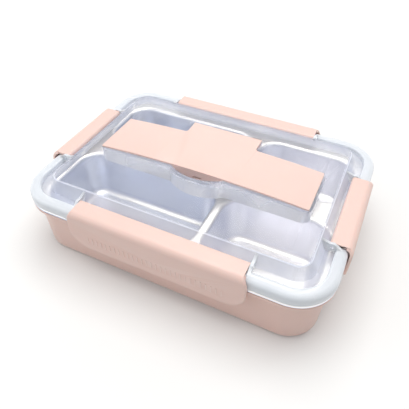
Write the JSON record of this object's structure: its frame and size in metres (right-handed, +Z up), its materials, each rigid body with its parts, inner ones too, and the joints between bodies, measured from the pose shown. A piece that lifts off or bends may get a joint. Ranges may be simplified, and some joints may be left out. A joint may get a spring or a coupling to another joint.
{
  "type": "bento lunch box",
  "caption": "Rounded lunch box: a plastic case holds a steel tray with food compartments under a clear lid with hinged clips and a covered cutlery well.",
  "frame": {"origin": "middle of the box on the surface that it stands on", "axes": "+X along the long side to the right, +Y from the front clip to the back clip, +Z up"},
  "size_m": [0.287, 0.211, 0.0794],
  "materials": {
    "case_plastic": "satin moulded, pale pink",
    "clip_plastic": "satin moulded, pale pink",
    "cover_plastic": "satin moulded, pale pink",
    "tray_steel": "stamped stainless sheet, soft polish",
    "pin_steel": "drawn wire, bright",
    "lid_clear": "clear moulded, glossy",
    "seal_silicone": "milky silicone"
  },
  "bodies": {
    "case": {"outer_case": "case_plastic"},
    "tray": {"steel_tray": "tray_steel"},
    "lid": {"lid": "lid_clear", "lid_seal": "seal_silicone", "front_clip_pin": "pin_steel", "back_clip_pin": "pin_steel", "left_clip_pin": "pin_steel", "right_clip_pin": "pin_steel"},
    "front_clip": {"front_clip": "clip_plastic"},
    "back_clip": {"back_clip": "clip_plastic"},
    "left_clip": {"left_clip": "clip_plastic"},
    "right_clip": {"right_clip": "clip_plastic"},
    "cover": {"cutlery_cover": "cover_plastic"}
  },
  "joints": [
    {"name": "tray_lift", "type": "slide", "parent": "case", "child": "tray", "axis": [0, 0, 1], "range_m": [0, 0.15]},
    {"name": "lid_lift", "type": "slide", "parent": "tray", "child": "lid", "axis": [0, 0, 1], "range_m": [0, 0.15]},
    {"name": "front_clip_turn", "type": "hinge", "parent": "lid", "child": "front_clip", "pos_m": [0, -0.0889, 0.0674], "axis": [-1, 0, 0], "range_deg": [0, 110]},
    {"name": "back_clip_turn", "type": "hinge", "parent": "lid", "child": "back_clip", "pos_m": [0, 0.0889, 0.0674], "axis": [1, 0, 0], "range_deg": [0, 110]},
    {"name": "left_clip_turn", "type": "hinge", "parent": "lid", "child": "left_clip", "pos_m": [-0.1269, 0, 0.0674], "axis": [0, 1, 0], "range_deg": [0, 110]},
    {"name": "right_clip_turn", "type": "hinge", "parent": "lid", "child": "right_clip", "pos_m": [0.1269, 0, 0.0674], "axis": [0, -1, 0], "range_deg": [0, 110]},
    {"name": "cover_turn", "type": "hinge", "parent": "lid", "child": "cover", "pos_m": [0, 0.0461, 0.07666], "axis": [-1, 0, 0], "range_deg": [0, 105]}
  ]
}
